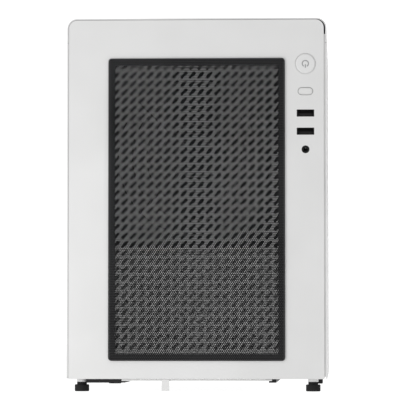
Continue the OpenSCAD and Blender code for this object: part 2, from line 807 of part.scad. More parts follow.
// Copper contact block with four bent heat pipes running up through the fins
module cooler_base() {
  top_x = fin_x1 - (fin_count - 1) * fin_pitch - 4;
  color("#b87345") union() {
    block([pcb_x - cpu_h - 16, cpu_y - 21, cpu_z - 21], [pcb_x - cpu_h, cpu_y + 21, cpu_z + 21]);
    for (i = [0 : 3]) for (s = [-1, 1]) {
      z_out = pipe_z(i, s);
      translate([pcb_x - cpu_h - 8, cpu_y + pipe_ys[i], cpu_z]) {
        rotate([s > 0 ? 0 : 180, 0, 0]) cylinder(d = 6, h = abs(z_out - cpu_z));
        translate([0, 0, z_out - cpu_z]) sphere(d = 6);
      }
      translate([top_x, cpu_y + pipe_ys[i], z_out]) rotate([0, 90, 0])
        cylinder(d = 6, h = pcb_x - cpu_h - 8 - top_x);
    }
  }
}

// Stack of thin fins, joined along two folded edges
module cooler_fins() {
  color("#d4d7da") difference() {
    union() {
      for (k = [0 : fin_count - 1]) block([fin_x1 - k * fin_pitch - 0.5, fin_y0, fin_z0],
        [fin_x1 - k * fin_pitch, fin_y0 + fin_size[0], fin_z0 + fin_size[1]]);
      for (z = [fin_z0, fin_z0 + fin_size[1] - 0.6]) for (y = [fin_y0 + 9, fin_y0 + 31])
        block([fin_x1 - (fin_count - 1) * fin_pitch - 0.5, y, z], [fin_x1, y + 5, z + 0.6]);
    }
    for (i = [0 : 3]) for (s = [-1, 1])
      translate([fin_x1 - fin_count * fin_pitch - 1, cpu_y + pipe_ys[i], pipe_z(i, s)])
        rotate([0, 90, 0]) cylinder(d = 6.1, h = fin_count * fin_pitch + 2);
  }
}

cooler_fan_x = fin_x1 - fin_count * fin_pitch / 2 + 2;
cooler_fan_y = fin_y0;

module cooler_fan_frame() {
  color("#26272a") translate([cooler_fan_x, cooler_fan_y, cpu_z]) rotate([90, 0, 0])
    fan_frame(fan_s, fan_t);
}

module cooler_fan_rotor() {
  color("#3a3c40") translate([cooler_fan_x, cooler_fan_y - strut_t - 1, cpu_z]) rotate([90, 0, 0])
    fan_rotor(rotor_d, fan_t - strut_t - 3, 9);
}

// ---- Power supply ----

psu_x0 = -psu_size[0] / 2 - 2;
psu_x1 = psu_x0 + psu_size[0];
psu_y0 = y_front + flange_d + psu_gap;
psu_y1 = psu_y0 + psu_size[1];
psu_z0 = z_floor + psu_lift;
psu_z1 = psu_z0 + psu_size[2];
psu_cx = (psu_x0 + psu_x1) / 2;
psu_cz = (psu_z0 + psu_z1) / 2;
psu_t = 1;
psu_fan_d = 128;
psu_inlet = [psu_y0 + 30, psu_z0 + 38];
switch_pos = [psu_y0 + 30, psu_z0 + 66];

inlet_nose = [24.2, 16.6];

// Steel box, open over its fan, with its inlet cup, switch and cable openings, and the fan's motor bar
module psu_case() {
  bar_y = psu_y0 + 21;
  color("#1b1b1e") union() {
    block([psu_cx - 4, bar_y, psu_z0 + psu_t], [psu_cx + 4, bar_y + 3, psu_z1 - psu_t]);
    facing_front(psu_cx, bar_y + 1, psu_cz) cylinder(d = 40, h = 1);
    sideways(psu_x0 + psu_t, 10) translate(psu_inlet) difference() {
      square([28, 20], center = true);
      square(inlet_nose + [0.6, 0.6], center = true);
    }
    psu_shell();
  }
}

module psu_shell() {
  difference() {
    block([psu_x0, psu_y0, psu_z0], [psu_x1, psu_y1, psu_z1]);
    block([psu_x0 + psu_t, psu_y0 + psu_t, psu_z0 + psu_t], [psu_x1 - psu_t, psu_y1 - psu_t, psu_z1 - psu_t]);
    upright(psu_y0 - 1, psu_t + 2) translate([psu_cx, psu_cz]) circle(d = psu_fan_d, $fn = 96);
    sideways(psu_x0 - 1, psu_t + 2) {
      translate(psu_inlet) square(inlet_nose + [0.6, 0.6], center = true);
      translate(switch_pos) square([13.4, 19.6], center = true);
      translate([psu_y0 + 66, psu_cz]) slot_field_2d(4, 14, 9, 8, 3.4, 30);
    }
    sideways(psu_x1 - psu_t - 1, psu_t + 2) for (p = psu_exits) translate(p) circle(d = 12.6);
  }
}

// Height and depth of the cable exits on the power supply's right face
psu_exits = [[psu_y0 + 62, psu_z0 + 98], [psu_y0 + 62, psu_z0 + 124], [psu_y0 + 62, psu_z0 + 28]];

// Flat grille of concentric rings and four spokes over the fan
module psu_fan_grille() {
  wire = 1.8;
  pitch = 12;
  rings = floor(psu_fan_d / 2 / pitch);
  color(metal) upright(psu_y0 - wire, wire) translate([psu_cx, psu_cz]) {
    for (i = [1 : rings]) difference() {
      circle(r = i * pitch + 4 + wire / 2, $fn = 96);
      circle(r = i * pitch + 4 - wire / 2, $fn = 96);
    }
    for (k = [0 : 3]) rotate(45 + k * 90) translate([pitch + 4, -wire / 2])
      square([psu_fan_d / 2 - pitch + 2, wire]);
  }
}

module psu_fan_rotor() {
  color("#303236") facing_front(psu_cx, psu_y0 + 18, psu_cz) fan_rotor(psu_fan_d - 6, 15, 7);
}

rocker_depth = 5;

// Rocker with two sloping faces, which turns about a point behind its middle
module psu_switch() {
  color("#0f0f11") translate([psu_x0, switch_pos[0] + 6, switch_pos[1]]) rotate([90, 0, 0])
    linear_extrude(12) polygon([[rocker_depth, -6], [rocker_depth, 6], [1, 8.4], [-2.2, 8.4],
      [-0.4, 0], [-2.2, -8.4], [1, -8.4]]);
}

psu_cy = psu_y0 + psu_size[1] / 2;
bracket_win = [psu_size[1] - 20, psu_size[2] - 34];

// White bracket: an upright sheet beside the power supply, a shelf beneath it and a plate in front below it
module psu_bracket() {
  x0 = psu_x0 - sheet_t;
  color(steel_white) union() {
    sideways(x0, sheet_t) difference() {
      translate([psu_y0 + 2, z_floor]) square([psu_size[1] - 4, rail_z - z_floor]);
      translate([psu_cy, psu_cz]) rounded_box_2d(bracket_win[0], bracket_win[1], 6);
      translate([psu_cy, z_floor + psu_lift / 2 - 4]) rounded_box_2d(psu_size[1] - 30, psu_lift - 40, 8);
      for (z = [-1, 1]) for (y = [-1, 1]) translate([psu_cy + y * 39.5, psu_cz + z * 70]) circle(d = 3.4);
    }
    block([x0, psu_y0, psu_z0 - sheet_t], [psu_x1, psu_y1 - 2, psu_z0]);
    block([x0, psu_y0, z_floor], [psu_x1, psu_y0 + sheet_t, psu_z0]);
    block([x0 - 14, psu_y0 + 2, z_floor], [x0 + sheet_t, psu_y1 - 2, z_floor + sheet_t]);
    block([-x_rear_in + 6, psu_y0 + 2, rail_z - sheet_t], [x0 + sheet_t, psu_y1 - 2, rail_z]);
  }
}

// ---- Mains inlet and leads ----

module rear_power_inlet() {
  color("#161618") union() {
    upright(y_rear - sheet_t - 24, 24 + sheet_t + 1.5) difference() {
      translate([inlet_x, inlet_z]) rounded_box_2d(inlet_hole[0] - 0.6, inlet_hole[1] - 0.6, 3);
      translate([inlet_x, inlet_z]) rounded_box_2d(24.4, 16.8, 3);
    }
    upright(y_rear - sheet_t - 24, 6) translate([inlet_x, inlet_z]) rounded_box_2d(25, 17, 3);
    for (x = [-7, 0, 7]) upright(y_rear - sheet_t - 20, 15) translate([inlet_x + x, inlet_z + (x == 0 ? 2 : -2)])
      square([2, 4], center = true);
    upright(y_rear, 1.5) difference() {
      translate([inlet_x, inlet_z]) rounded_box_2d(inlet_hole[0] + 6, inlet_hole[1] + 5, 4);
      translate([inlet_x, inlet_z]) rounded_box_2d(24.4, 16.8, 3);
    }
  }
}

// Points on a smooth curve through the route's points
function spline_point(p, i, t) =
  let (a = p[max(i - 1, 0)], b = p[i], c = p[i + 1], d = p[min(i + 2, len(p) - 1)])
  0.5 * ((2 * b) + (c - a) * t + (2 * a - 5 * b + 4 * c - d) * t * t + (3 * b - a - 3 * c + d) * t * t * t);
function smooth_route(p, n) = concat(
  [for (i = [0 : len(p) - 2]) for (k = [0 : n - 1]) spline_point(p, i, k / n)], [p[len(p) - 1]]);
function unit(v) = v / norm(v);
function side_of(t, last) = unit(last - (last * t) * t);
function ring_sides(pts, i, last) = i >= len(pts) ? [] :
  let (t = unit(pts[min(i + 1, len(pts) - 1)] - pts[max(i - 1, 0)]), s = side_of(t, last))
  concat([[s, cross(t, s)]], ring_sides(pts, i + 1, s));

// A round lead swept along its route, closed at both ends
module lead(route, d, steps, start) {
  sides = 8;
  pts = smooth_route(route, steps);
  axes = ring_sides(pts, 0, start);
  rings = len(pts);
  points = [for (i = [0 : rings - 1]) for (k = [0 : sides - 1])
    pts[i] + d / 2 * (cos(k * 360 / sides) * axes[i][0] + sin(k * 360 / sides) * axes[i][1])];
  walls = [for (i = [0 : rings - 2]) for (k = [0 : sides - 1])
    let (a = i * sides + k, b = i * sides + (k + 1) % sides) [a, a + sides, b + sides, b]];
  polyhedron(points, concat([[for (k = [0 : sides - 1]) k]], walls,
    [[for (k = [sides - 1 : -1 : 0]) (rings - 1) * sides + k]]), convexity = 8);
}

ac_route = [
  [-84, -146, 148], [-84, -146, 136], [-86, -144, 112], [-94, -132, 66], [-97, -96, 36],
  [-97, -20, 27], [-97, 70, 27], [-94, 122, 38], [-80, 146, 51], [-77.1, 161.7, 52.3]
];

// Short inside lead from the rear inlet to the power supply, with a right-angled plug
module ac_extension_cable() {
  color("#18181a") union() {
    sideways(psu_x0 - 20, 20) translate(psu_inlet) rounded_box_2d(26, 19, 3);
    sideways(psu_x0 - 1, 9) translate(psu_inlet) square(inlet_nose, center = true);
    lead(ac_route, 7, 4, [0, 1, 0]);
  }
}

plug_h = 18;

atx_route = [
  [66, -114.2, 216.3], [75, -114, 216], [79.5, -104, 214], [76, -90, 209], [62, -82, 203],
  [44, -77, 197], [32, -67, 191], [33, -56, 188], [42, -53.8, 187.3], [52, -53.8, 187.3]
];

module atx_power_cable() {
  color("#1a1a1c") union() {
    on_board_plug([board_y0 + 3, atx_socket_z - 25], [8, 50], socket_h, plug_h);
    lead(atx_route, 11, 4, [0, 0, 1]);
  }
}

// A connector that sits on a socket of the given height
module on_board_plug(corner, size, base, h) {
  block([pcb_x - base - h, corner[0], corner[1]], [pcb_x - base, corner[0] + size[0], corner[1] + size[1]]);
}

cpu_route = [
  [66, -114.2, 242.3], [76, -114, 243], [81, -100, 252], [82, -60, 276], [82, 20, 279],
  [79, 100, 279], [64, 130, 278], [46, 134, 273], [38, 133.3, 264], [42, 133.3, 258],
  [54, 133.3, 257.3]
];

module cpu_power_cable() {
  color("#1a1a1c") union() {
    on_board_plug([eps_y - 9, board_z1 - 13], [18, 8], socket_h, 15);
    lead(cpu_route, 7, 4, [0, 0, 1]);
  }
}

front_io_route = [
  [89.9, -178.2, 222], [90, -166, 221], [94, -138, 196], [97.5, -108, 140], [97, -84, 88],
  [86, -76.8, 68], [68, -66, 48], [54, -46, 33], [53, -34, 28], [62, -29.8, 27.3]
];

module front_io_cable() {
  color("#1a1a1c") union() {
    on_board_plug([board_y0 + 21, board_z0 + 2.5], [20, 5], 9, 11);
    lead(front_io_route, 4.6, 4, [0, 0, 1]);
  }
}

// ---- Graphics card ----

card_y1 = y_rear - sheet_t - 0.9;
card_y0 = card_y1 - card_l;
card_x0 = pcb_x - card_h;
card_x1 = pcb_x - slot_h - 2;
card_low = card_z - pcb_t / 2;
gpu_plug_y = card_y0 + 14;

// Card board with its two-slot bracket, display ports and power socket
module gpu_board() {
  color(pcb_black) union() {
    block([card_x0, card_y0, card_low], [card_x1, card_y1, card_low + pcb_t]);
    block([card_x1 - 1, slot_edge - 87.5, card_low], [pcb_x - 4.5, slot_edge - 1.5, card_low + pcb_t]);
    difference() {
      union() {
        for (row = [0, 1]) bracket_plate(row);
        upright(y_rear - sheet_t - 0.9, 0.9) translate([bracket_x0, card_z - card_pitch])
          square([cover_size[0], card_pitch]);
      }
      for (row = [0, 1]) translate([slot_screw_x, y_rear, card_z - row * card_pitch]) rotate([90, 0, 0])
        cylinder(d = 3.4, h = 10);
      upright(y_rear - 4, 4) translate([pcb_x - 58, card_z - card_pitch]) slot_field_2d(8, 1, 9, 9, 3, 90);
    }
    for (x = [30, 54, 78]) difference() {
      block([pcb_x - x - 8, card_y1 - 14, card_low - 5.6], [pcb_x - x + 8, y_rear - 0.2, card_low + 0.2]);
      block([pcb_x - x - 6.8, y_rear - 8, card_low - 4.8], [pcb_x - x + 6.8, y_rear, card_low - 1]);
    }
    block([card_x0, gpu_plug_y, card_z], [card_x0 + 13, gpu_plug_y + 20, card_low + pcb_t + 9]);
  }
}

cooler_y1 = card_y1 - 18;
cooler_y0 = card_y0 - 2;
sink_x0 = card_x0 + 3;
sink_x1 = card_x1 - 3;

// Base plate with fins that hang under the card
module gpu_heatsink() {
  pitch = 4;
  fins = floor((cooler_y1 - cooler_y0 - 8) / pitch);
  color("#c4c7ca") sideways(sink_x0, sink_x1 - sink_x0) {
    translate([cooler_y0 + 4, card_low - 4.4]) square([(fins - 1) * pitch + 1, 3]);
    translate([cooler_y0 + 60, card_low - 2]) square([70, 2]);
    for (k = [0 : fins - 1]) translate([cooler_y0 + 4 + k * pitch, card_low - 20]) square([1, 17]);
  }
}

shroud_t = 1.6;
shroud_h = 36.5;
gpu_fan_x = (sink_x0 + sink_x1) / 2;
gpu_fan_spread = (cooler_y1 - cooler_y0 - 18) / 4;
gpu_fan_ys = [(cooler_y0 + cooler_y1) / 2 - gpu_fan_spread, (cooler_y0 + cooler_y1) / 2 + gpu_fan_spread];
gpu_rotor_d = min(2 * gpu_fan_spread, sink_x1 - sink_x0 + 4) - 10;

// Shroud around the fins, open above, with two round fan openings below
module gpu_shroud() {
  x0 = sink_x0 - 1.2 - shroud_t;
  x1 = sink_x1 + 1.2 + shroud_t;
  color("#2a2b2e") difference() {
    translate([0, 0, card_low - shroud_h]) difference() {
      block([x0, cooler_y0, 0], [x1, cooler_y1, shroud_h - 1]);
      block([x0 + shroud_t, cooler_y0 + shroud_t, shroud_t], [x1 - shroud_t, cooler_y1 - shroud_t, shroud_h]);
      for (y = gpu_fan_ys) translate([gpu_fan_x, y, -1])
        cylinder(d = gpu_rotor_d + 3.4, h = shroud_t + 2, $fn = 96);
    }
    for (y = [cooler_y0 + 20 : 24 : cooler_y1 - 30])
      block([x0 - 1, y, card_low - 24], [x0 + shroud_t + 1, y + 14, card_low - 12]);
  }
}

module gpu_fan(y) {
  color("#3a3b3f") translate([gpu_fan_x, y, card_low - shroud_h + 1]) fan_rotor(gpu_rotor_d, 13, 11);
}

module gpu_fan_front() gpu_fan(gpu_fan_ys[0]);
module gpu_fan_rear() gpu_fan(gpu_fan_ys[1]);

gpu_route = [
  [66, -114.2, 146.3], [76, -114, 145], [80, -107, 130], [68, -92, 110], [36, -80, 103],
  [-14, -73, 103], [-46, -66, 103], [-60, -50, 101], [-62, -28, 98.5], [-56, -18, 97.4],
  [-45, -17.2, 97.3]
];

module gpu_power_cable() {
  color("#1a1a1c") union() {
    block([card_x0 - 15, gpu_plug_y + 1, card_low + pcb_t + 0.4],
      [card_x0, gpu_plug_y + 19, card_low + pcb_t + 8.4]);
    lead(gpu_route, 7, 4, [0, 0, 1]);
  }
}

// ---- All the nodes ----

front_panel();
top_cover();
left_side_panel();
right_side_panel();
bottom_panel();
rear_panel();
top_rails();
motherboard_tray();
foot_front_left();
foot_front_right();
foot_rear_left();
foot_rear_right();
slot_covers();
front_filter_frame();
front_filter_net();
bottom_filter_frame();
bottom_filter_net();
bottom_filter_rails();
power_button();
power_switch();
front_io_board();
front_io_bracket();
usb_a_ports();
usb_c_port();
usb_c_plug();
audio_jack();
motherboard();
motherboard_standoffs();
io_shield();
rear_io_ports();
cpu_socket();
ram_slots();
ram_modules();
board_sockets();
vrm_heatsink();
chipset_heatsink();
m2_ssd();
cooler_base();
cooler_fins();
cooler_fan_frame();
cooler_fan_rotor();
psu_case();
psu_fan_grille();
psu_fan_rotor();
psu_switch();
psu_bracket();
rear_power_inlet();
ac_extension_cable();
gpu_board();
gpu_heatsink();
gpu_shroud();
gpu_fan_front();
gpu_fan_rear();
rear_fan_frame();
rear_fan_rotor();
thumbscrews();
atx_power_cable();
cpu_power_cable();
gpu_power_cable();
front_io_cable();
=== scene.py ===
# %% [markdown]
# A compact desktop computer tower. The steel, plastic and inside parts arrive as a fixed frame that
# already has every size and every joint. This script never moves them. It gives each one a finish,
# swaps a few plain stand-ins for finer meshes (the nets, the fan blades, the wire grille and the leads),
# adds the small parts on the circuit boards, and sets up the floor, the lights and the camera.
# %% Load the frame
import math
import random

import bmesh
import bpy
from mathutils import Matrix, Vector


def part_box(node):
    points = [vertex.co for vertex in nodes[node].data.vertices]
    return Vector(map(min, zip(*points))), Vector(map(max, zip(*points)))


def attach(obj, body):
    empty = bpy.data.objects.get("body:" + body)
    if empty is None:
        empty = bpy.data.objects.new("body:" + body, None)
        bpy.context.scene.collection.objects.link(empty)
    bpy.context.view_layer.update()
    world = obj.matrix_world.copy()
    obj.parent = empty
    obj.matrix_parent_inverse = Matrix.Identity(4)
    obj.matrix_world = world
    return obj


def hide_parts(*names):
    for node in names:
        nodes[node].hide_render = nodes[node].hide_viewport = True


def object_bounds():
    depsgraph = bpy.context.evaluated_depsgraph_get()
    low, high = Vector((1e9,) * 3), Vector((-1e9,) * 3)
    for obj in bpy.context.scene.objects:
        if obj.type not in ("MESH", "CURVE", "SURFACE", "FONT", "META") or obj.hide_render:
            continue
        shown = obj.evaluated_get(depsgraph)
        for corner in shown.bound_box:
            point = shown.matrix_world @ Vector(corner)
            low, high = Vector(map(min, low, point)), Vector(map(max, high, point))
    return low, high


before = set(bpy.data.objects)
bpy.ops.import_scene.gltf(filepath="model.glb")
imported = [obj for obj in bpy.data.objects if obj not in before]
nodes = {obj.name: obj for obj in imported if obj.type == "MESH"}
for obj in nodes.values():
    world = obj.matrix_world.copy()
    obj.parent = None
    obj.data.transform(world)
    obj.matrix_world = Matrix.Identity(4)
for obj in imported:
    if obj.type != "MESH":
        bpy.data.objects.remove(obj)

cad_low, cad_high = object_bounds()
scene = bpy.context.scene
MM = 0.001
print("nodes", len(nodes), "size in mm", [round((b - a) / MM, 1) for a, b in zip(cad_low, cad_high)])

# %% [markdown]
# Everything is placed from the frame's own boxes, so this cell reads the few that are used again and
# again: the front sheet, the front filter and the power button. A box is the pair of corners of a part.
# %% Boxes that the rest is placed from
front_low, front_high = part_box("front_panel")
filter_low, filter_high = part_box("front_filter_net")
button_low, button_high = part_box("power_button")
board_low, board_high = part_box("motherboard")
print("front sheet is", round((front_high.z - front_low.z) / MM, 1), "mm tall")

# %% [markdown]
# The picture is taken from far away with the lens close to the floor and tilted up a little, which is why
# the rear feet can be seen between the front ones. The camera also stands a little to the right, so the
# top edge rises to the right and a sliver of the right side shows. A long lens at that distance keeps
# the case's sides nearly parallel. The aim point lies on the front sheet's plane, and the lens is worked
# out from how much of that plane the frame takes in.
# %% Camera
VIEW_DISTANCE = 2.34
VIEW_WIDTH = 0.3298
CAMERA_HEIGHT = 0.05
CAMERA_ASIDE = 0.117
SENSOR = 36.0

aim = Vector((0.0029, filter_low.y, 0.1577))
eye = Vector((CAMERA_ASIDE, aim.y - VIEW_DISTANCE, CAMERA_HEIGHT))
camera = bpy.data.objects.new("camera", bpy.data.cameras.new("camera"))
scene.collection.objects.link(camera)
camera.data.sensor_width = SENSOR
camera.data.lens = SENSOR * (aim - eye).length / VIEW_WIDTH
camera.data.clip_end = 20
camera.location = eye
camera.rotation_euler = (aim - eye).to_track_quat("-Z", "Y").to_euler()
scene.camera = camera
print("lens", round(camera.data.lens), "mm")

# %% [markdown]
# The set is a pale floor and a white backdrop, as in a product picture. Most of the light is the plain
# bright world, which gives soft shade and no hard edges. It is a little darker on the right, which keeps
# the right side in shade. A small light close to the lower left makes the front fall off gently to the
# upper right, and one overhead lifts the top and the floor. The floor and the backdrop glow a little, so
# that both come out white, and they reach far enough out for a view from any side.
# %% Floor, backdrop and lights
WORLD_LIGHT = 0.82
WORLD_TILT = 0.45


def flat_finish(name, color, roughness, glow=0.0):
    material = bpy.data.materials.new(name)
    material.use_nodes = True
    shader = material.node_tree.nodes["Principled BSDF"]
    shader.inputs["Base Color"].default_value = (*color, 1)
    shader.inputs["Roughness"].default_value = roughness
    shader.inputs["Specular IOR Level"].default_value = 0.2
    shader.inputs["Emission Color"].default_value = (1, 1, 1, 1)
    shader.inputs["Emission Strength"].default_value = glow
    return material


def plane_from(name, corners, material):
    mesh = bpy.data.meshes.new(name)
    mesh.from_pydata(corners, [], [(0, 1, 2, 3)])
    mesh.materials.append(material)
    piece = bpy.data.objects.new(name, mesh)
    scene.collection.objects.link(piece)
    return piece


FLOOR_HALF = 10.0
plane_from("floor", [(-FLOOR_HALF, -FLOOR_HALF, 0), (FLOOR_HALF, -FLOOR_HALF, 0),
                             (FLOOR_HALF, FLOOR_HALF, 0), (-FLOOR_HALF, FLOOR_HALF, 0)],
                   flat_finish("floor_paper", (0.12, 0.12, 0.12), 0.9, 0.97))
BACKDROP_Y = 8.0
plane_from("backdrop", [(-FLOOR_HALF, BACKDROP_Y, 0), (FLOOR_HALF, BACKDROP_Y, 0),
                                   (FLOOR_HALF, BACKDROP_Y, 5), (-FLOOR_HALF, BACKDROP_Y, 5)],
                      flat_finish("backdrop_paper", (0.9, 0.9, 0.9), 0.9, 0.5))


def area_light(name, place, size, power, target):
    data = bpy.data.lights.new(name, "AREA")
    data.shape = "RECTANGLE"
    data.size, data.size_y = size
    data.energy = power
    light = bpy.data.objects.new(name, data)
    light.location = place
    light.rotation_euler = (Vector(target) - Vector(place)).to_track_quat("-Z", "Y").to_euler()
    light.visible_camera = False
    scene.collection.objects.link(light)
    return light


area_light("key_light", (-0.30, -0.50, 0.065), (0.12, 0.10), 0.38, (0.02, -0.19, 0.04))
area_light("top_light", (0.1, 0.1, 1.9), (1.6, 1.6), 9, (0, 0, 0.2))

world = bpy.data.worlds.new("studio")
world.use_nodes = True
world_nodes, world_links = world.node_tree.nodes, world.node_tree.links
direction = world_nodes.new("ShaderNodeTexCoord").outputs["Generated"]
aside = world_nodes.new("ShaderNodeSeparateXYZ")
world_links.new(direction, aside.inputs["Vector"])
fade = world_nodes.new("ShaderNodeMapRange")
fade.inputs["From Min"].default_value = -1
fade.inputs["To Min"].default_value = WORLD_LIGHT + WORLD_TILT
fade.inputs["To Max"].default_value = WORLD_LIGHT - WORLD_TILT
world_links.new(aside.outputs["X"], fade.inputs["Value"])
world_links.new(fade.outputs["Result"], world_nodes["Background"].inputs["Strength"])
world_nodes["Background"].inputs["Color"].default_value = (1, 1, 1, 1)
scene.world = world
scene.view_settings.view_transform = "Standard"

# %% [markdown]
# A finish is one Principled shader fed by small procedural patterns. Every pattern reads the object's own
# coordinates in metres, so a scale of 900 means grains about a millimetre across. Each finish here has
# three patterns: a broad one that shifts the colour a little, a middle one that shifts the gloss, and a
# fine one that makes the surface's tooth as a bump.
# %% Finish maker
class Finish:
    def __init__(self, name, metallic=0.0):
        self.material = bpy.data.materials.new(name)
        self.material.use_nodes = True
        self.tree = self.material.node_tree
        self.shader = self.tree.nodes["Principled BSDF"]
        self.shader.inputs["Metallic"].default_value = metallic
        self.place = self.tree.nodes.new("ShaderNodeTexCoord").outputs["Object"]

    def add(self, kind, **settings):
        node = self.tree.nodes.new(kind)
        for key, value in settings.items():
            setattr(node, key, value)
        return node

    def link(self, source, target):
        self.tree.links.new(source, target)

    def noise(self, scale, detail=2.0, stretch=None):
        place = self.place
        if stretch:
            mapping = self.add("ShaderNodeMapping")
            mapping.inputs["Scale"].default_value = stretch
            self.link(place, mapping.inputs["Vector"])
            place = mapping.outputs["Vector"]
        node = self.add("ShaderNodeTexNoise")
        node.inputs["Scale"].default_value = scale
        node.inputs["Detail"].default_value = detail
        self.link(place, node.inputs["Vector"])
        return node.outputs["Fac"]

    def ramp(self, source, low, high, start=0.3, end=0.7):
        node = self.add("ShaderNodeValToRGB")
        node.color_ramp.elements[0].position = start
        node.color_ramp.elements[1].position = end
        node.color_ramp.elements[0].color = (*low, 1)
        node.color_ramp.elements[1].color = (*high, 1)
        self.link(source, node.inputs["Fac"])
        return node.outputs["Color"]

    def remap(self, source, low, high):
        node = self.add("ShaderNodeMapRange")
        node.inputs["To Min"].default_value = low
        node.inputs["To Max"].default_value = high
        self.link(source, node.inputs["Value"])
        return node.outputs["Result"]

    def bump(self, source, strength, distance):
        node = self.add("ShaderNodeBump")
        node.inputs["Strength"].default_value = strength
        node.inputs["Distance"].default_value = distance
        self.link(source, node.inputs["Height"])
        self.link(node.outputs["Normal"], self.shader.inputs["Normal"])
        return node


def grained(name, dark, light, rough, grain, bump, metallic=0.0, stretch=None, broad=18.0, gloss=0.5):
    """A finish with a broad colour drift, a gloss drift and a fine tooth."""
    made = Finish(name, metallic)
    made.shader.inputs["Specular IOR Level"].default_value = gloss
    made.link(made.ramp(made.noise(broad), dark, light), made.shader.inputs["Base Color"])
    made.link(made.remap(made.noise(broad * 9, 3.0, stretch), *rough), made.shader.inputs["Roughness"])
    made.bump(made.noise(grain, 3.0, stretch), bump, 0.0002)
    return made.material


# %% [markdown]
# The case is steel with a matt white powder coat. Powder coat has a fine orange peel, so its bump is
# made of soft grains well under a millimetre, and the colour drifts by only a few per cent.
# %% White finishes
powder_white = grained("powder_white", (0.655, 0.655, 0.652), (0.69, 0.69, 0.688),
                       (0.42, 0.52), 1500, 0.10, gloss=0.4)
plastic_white = grained("plastic_white", (0.66, 0.66, 0.655), (0.70, 0.70, 0.695),
                        (0.35, 0.45), 2200, 0.05, gloss=0.4)

# %% [markdown]
# The black plastics are moulded with a spark-eroded tooth. Pure black looks like a hole, so each one stays
# a little above it. Rubber is duller and rougher, and the magnet strip has a slight satin sheen.
# %% Black finishes
plastic_black = grained("plastic_black", (0.007, 0.007, 0.0075), (0.012, 0.012, 0.013),
                        (0.42, 0.58), 1800, 0.25, gloss=0.22)
rubber_black = grained("rubber_black", (0.007, 0.007, 0.007), (0.014, 0.014, 0.014),
                       (0.62, 0.78), 1100, 0.35, gloss=0.2)
magnet_strip = grained("magnet_strip", (0.026, 0.026, 0.027), (0.036, 0.036, 0.037),
                       (0.5, 0.65), 1500, 0.25, gloss=0.3)
net_thread = grained("net_thread", (0.004, 0.004, 0.0045), (0.008, 0.008, 0.009),
                     (0.5, 0.65), 2600, 0.2, gloss=0.1)
steel_black = grained("steel_black", (0.018, 0.018, 0.019), (0.028, 0.028, 0.030), (0.35, 0.5), 1300, 0.3)
blade_grey = grained("blade_grey", (0.030, 0.031, 0.034), (0.042, 0.043, 0.047), (0.25, 0.4), 900, 0.08)

# %% [markdown]
# Bare metal reflects its surroundings, so its gloss pattern matters more than its colour. Stretching the
# noise along one axis turns grains into the long scratches of rolled or brushed metal.
# %% Metal finishes
BRUSH = (1.0, 1.0, 0.04)
aluminium = grained("aluminium", (0.66, 0.67, 0.69), (0.76, 0.77, 0.79),
                    (0.24, 0.42), 900, 0.12, 1.0, BRUSH)
steel_bare = grained("steel_bare", (0.50, 0.50, 0.51), (0.62, 0.62, 0.63),
                     (0.22, 0.40), 1200, 0.10, 1.0, BRUSH)
copper = grained("copper", (0.62, 0.30, 0.17), (0.76, 0.42, 0.27), (0.18, 0.34), 700, 0.06, 1.0)
brass = grained("brass", (0.60, 0.44, 0.16), (0.74, 0.56, 0.24), (0.2, 0.36), 900, 0.08, 1.0)
chrome = grained("chrome", (0.60, 0.60, 0.61), (0.70, 0.70, 0.71), (0.10, 0.22), 700, 0.05, 1.0)

# %% [markdown]
# A circuit board is glass cloth under a coloured lacquer, with copper tracks that stand up a little and
# tint the lacquer. Two brick patterns, one turned by 45 degrees, make runs of tracks that change direction,
# and a fine noise mixes between them, so that no two areas look the same.
# %% Circuit board finish
def board_finish(name, lacquer, track):
    made = Finish(name)
    place = made.add("ShaderNodeMapping")
    made.link(made.place, place.inputs["Vector"])
    place.inputs["Rotation"].default_value = (0, math.radians(90), 0)
    runs = []
    for turn in (0, 45):
        turned = made.add("ShaderNodeMapping")
        turned.inputs["Rotation"].default_value = (0, 0, math.radians(turn))
        made.link(place.outputs["Vector"], turned.inputs["Vector"])
        bricks = made.add("ShaderNodeTexBrick")
        bricks.inputs["Scale"].default_value = 160
        bricks.inputs["Mortar Size"].default_value = 0.035
        bricks.inputs["Brick Width"].default_value = 2.6
        bricks.inputs["Row Height"].default_value = 0.22
        made.link(turned.outputs["Vector"], bricks.inputs["Vector"])
        runs.append(bricks.outputs["Fac"])
    patch = made.add("ShaderNodeMath", operation="GREATER_THAN")
    patch.inputs[1].default_value = 0.52
    made.link(made.noise(55, 1.0), patch.inputs[0])
    mix = made.add("ShaderNodeMix")
    made.link(patch.outputs["Value"], mix.inputs["Factor"])
    made.link(runs[0], mix.inputs["A"])
    made.link(runs[1], mix.inputs["B"])
    made.link(made.ramp(mix.outputs["Result"], lacquer, track, 0.2, 0.8), made.shader.inputs["Base Color"])
    made.link(made.remap(made.noise(90), 0.25, 0.4), made.shader.inputs["Roughness"])
    made.bump(mix.outputs["Result"], 0.35, 0.0001)
    return made.material


board_black = board_finish("board_black", (0.010, 0.012, 0.012), (0.030, 0.034, 0.034))
board_green = board_finish("board_green", (0.006, 0.050, 0.022), (0.016, 0.105, 0.050))

